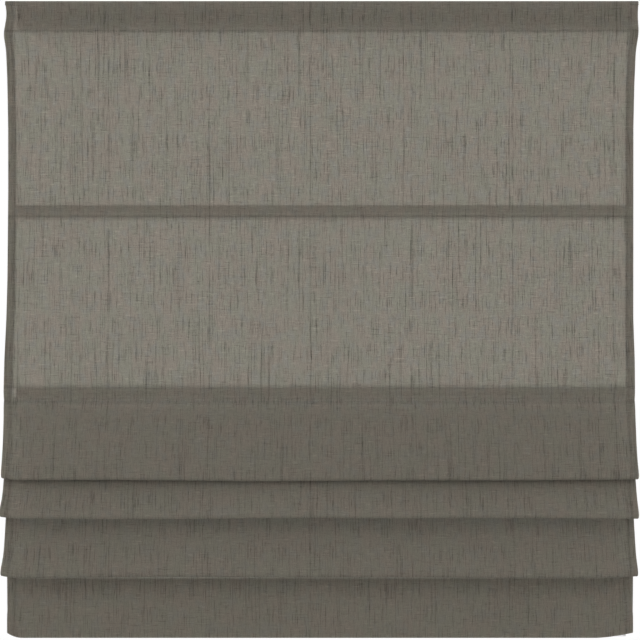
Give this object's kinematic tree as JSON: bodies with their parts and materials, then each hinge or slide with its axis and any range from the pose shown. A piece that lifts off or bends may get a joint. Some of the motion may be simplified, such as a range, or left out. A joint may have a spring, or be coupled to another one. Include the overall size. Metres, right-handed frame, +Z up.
{
  "type": "roman blind",
  "caption": "Chain-driven roman blind, partly raised, with rods in sewn pockets and forward folds, for a ceiling or wall",
  "frame": {"origin": "centre of the middle bracket's two ceiling screw holes, on the ceiling plane", "axes": "+Z up, -Y towards the room, +X to the right as seen from the room; the wall plane is at y = 0.019"},
  "size_m": [1, 0.0966, 1.0195],
  "materials": {
    "linen_fabric": "matte",
    "pocket_tape": "matte",
    "mill_aluminium": "satin",
    "zinc_plated_steel": "satin",
    "white_nylon": "satin",
    "light_grey_plastic": "satin",
    "dark_plastic": "satin",
    "drawn_steel": "satin",
    "spring_steel": "satin",
    "hook_strip": "matte",
    "loop_strip": "matte",
    "glass_fibre_rod": "satin",
    "clear_plastic": "gloss",
    "braided_cord": "matte"
  },
  "bodies": {
    "headrail_frame": {"headrail": "mill_aluminium", "end_cap": "light_grey_plastic", "hook_tape": "hook_strip", "loop_tape": "loop_strip", "bracket_left": "zinc_plated_steel", "bracket_middle": "zinc_plated_steel", "bracket_right": "zinc_plated_steel", "cradle_left": "white_nylon", "cradle_middle": "white_nylon", "cradle_right": "white_nylon", "drive_housing": "light_grey_plastic", "drive_cover": "light_grey_plastic", "fabric_upper": "linen_fabric", "fabric_middle": "linen_fabric", "rod_pocket_1": "pocket_tape", "rod_1": "glass_fibre_rod", "rod_tips_1": "clear_plastic", "rings_1": "clear_plastic", "lift_cord_left": "braided_cord", "lift_cord_middle": "braided_cord", "lift_cord_right": "braided_cord"},
    "blind_stack": {"fabric_folds": "linen_fabric", "rod_pocket_2": "pocket_tape", "rod_2": "glass_fibre_rod", "rod_tips_2": "clear_plastic", "rings_2": "clear_plastic", "rod_pocket_3": "pocket_tape", "rod_3": "glass_fibre_rod", "rod_tips_3": "clear_plastic", "rings_3": "clear_plastic", "rod_pocket_4": "pocket_tape", "rod_4": "glass_fibre_rod", "rod_tips_4": "clear_plastic", "rings_4": "clear_plastic", "rod_pocket_5": "pocket_tape", "rod_5": "glass_fibre_rod", "rod_tips_5": "clear_plastic", "rings_5": "clear_plastic", "cord_connectors": "clear_plastic", "bottom_bar": "mill_aluminium", "bottom_bar_caps": "light_grey_plastic"},
    "drive_train": {"spool_left": "white_nylon", "spool_middle": "white_nylon", "spool_right": "white_nylon", "wound_cord_left": "braided_cord", "wound_cord_middle": "braided_cord", "wound_cord_right": "braided_cord", "drive_shaft": "drawn_steel", "chain_wheel": "white_nylon", "clutch_hub": "dark_plastic", "clutch_spring": "spring_steel"},
    "left_cam": {"cam_left": "white_nylon"},
    "middle_cam": {"cam_middle": "white_nylon"},
    "right_cam": {"cam_right": "white_nylon"}
  },
  "joints": [
    {"name": "lift", "type": "slide", "parent": "headrail_frame", "child": "blind_stack", "axis": [0, 0, 1], "range_m": [0, 0.265], "deforming": ["fabric_middle", "lift_cord_left", "lift_cord_middle", "lift_cord_right"]},
    {"name": "drive_spin", "type": "hinge", "parent": "headrail_frame", "child": "drive_train", "pos_m": [0, 0, -0.0257], "axis": [-1, 0, 0], "range_deg": [0, 1750]},
    {"name": "left_cam_turn", "type": "hinge", "parent": "headrail_frame", "child": "left_cam", "pos_m": [-0.28, 0, -0.004], "axis": [0, 0, 1], "range_deg": [0, 90]},
    {"name": "middle_cam_turn", "type": "hinge", "parent": "headrail_frame", "child": "middle_cam", "pos_m": [0, 0, -0.004], "axis": [0, 0, 1], "range_deg": [0, 90]},
    {"name": "right_cam_turn", "type": "hinge", "parent": "headrail_frame", "child": "right_cam", "pos_m": [0.28, 0, -0.004], "axis": [0, 0, 1], "range_deg": [0, 90]}
  ],
  "couplings": [
    {"joint": "drive_spin", "follows": "lift", "rad_per_m": 114.94}
  ]
}
